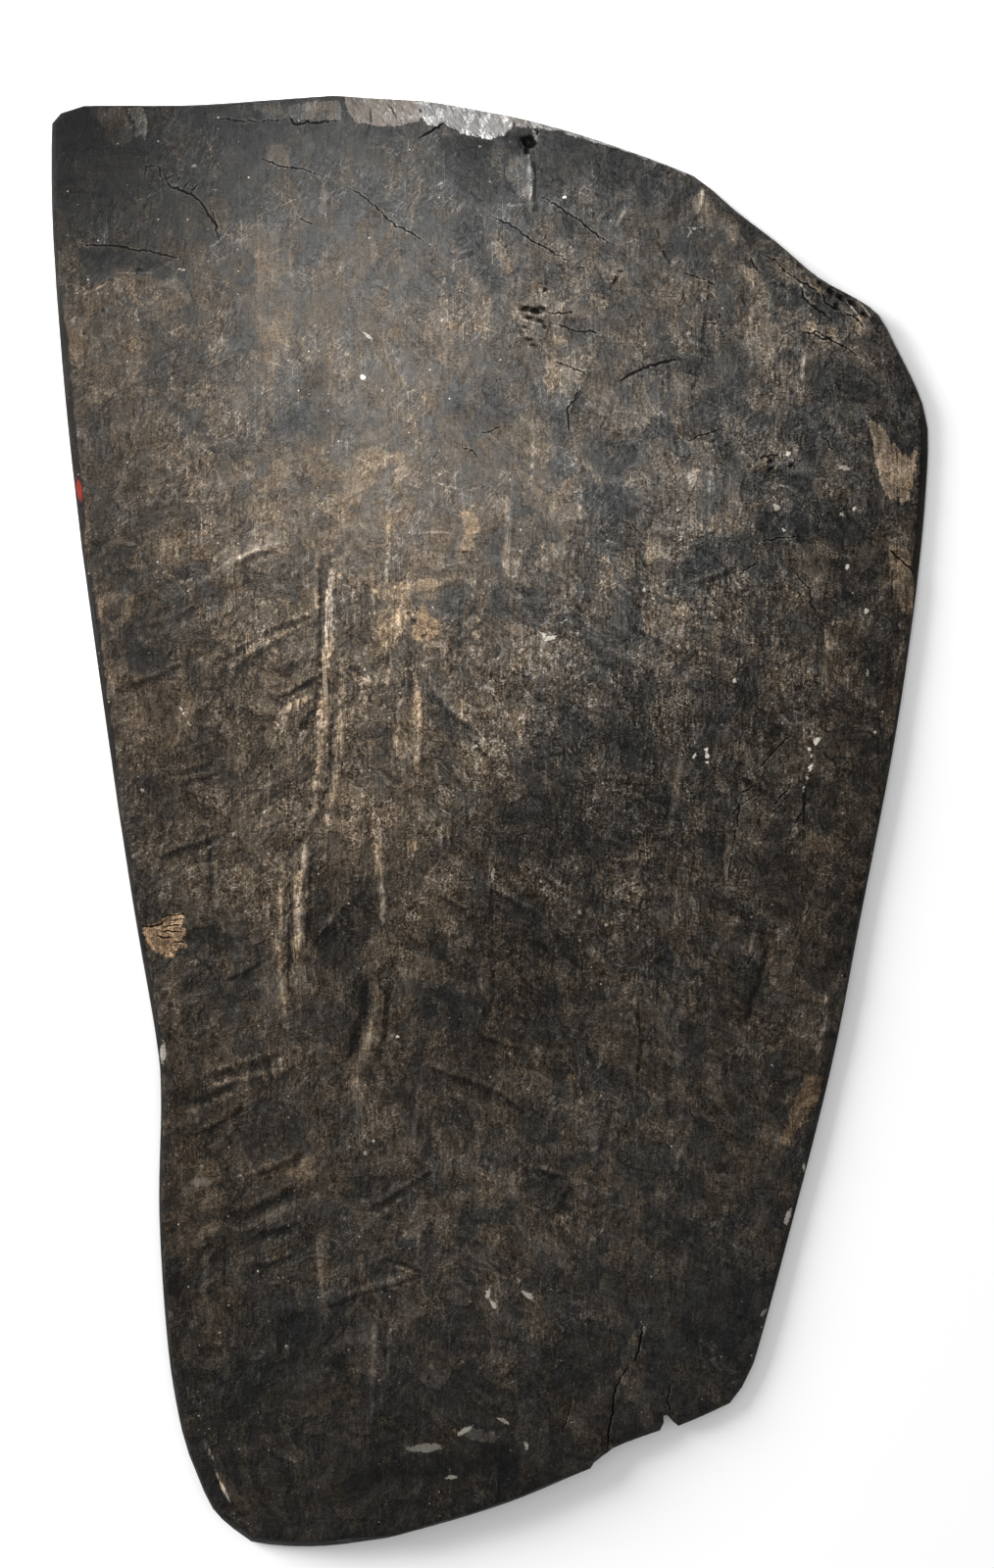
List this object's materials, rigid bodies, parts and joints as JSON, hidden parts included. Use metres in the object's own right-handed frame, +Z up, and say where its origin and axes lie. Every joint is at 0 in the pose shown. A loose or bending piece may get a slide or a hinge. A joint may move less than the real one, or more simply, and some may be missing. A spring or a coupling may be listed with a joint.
{
  "type": "fighting shield",
  "caption": "Hewn wooden fighting shield: a tall bowed plank, broad at the top and narrowing to a rounded foot, with a hollowed back and worn, chipped edges.",
  "frame": {"origin": "on the surface it lies on, under the middle of the board's box", "axes": "+Y along the board towards its broad top end, +X across it to the right of the face, +Z up off the face"},
  "size_m": [0.787, 1.3, 0.033],
  "materials": {
    "dark_wood": "hewn, blackened and worn, semi-matt"
  },
  "bodies": {
    "root": {"shield_board": "dark_wood"}
  },
  "joints": []
}
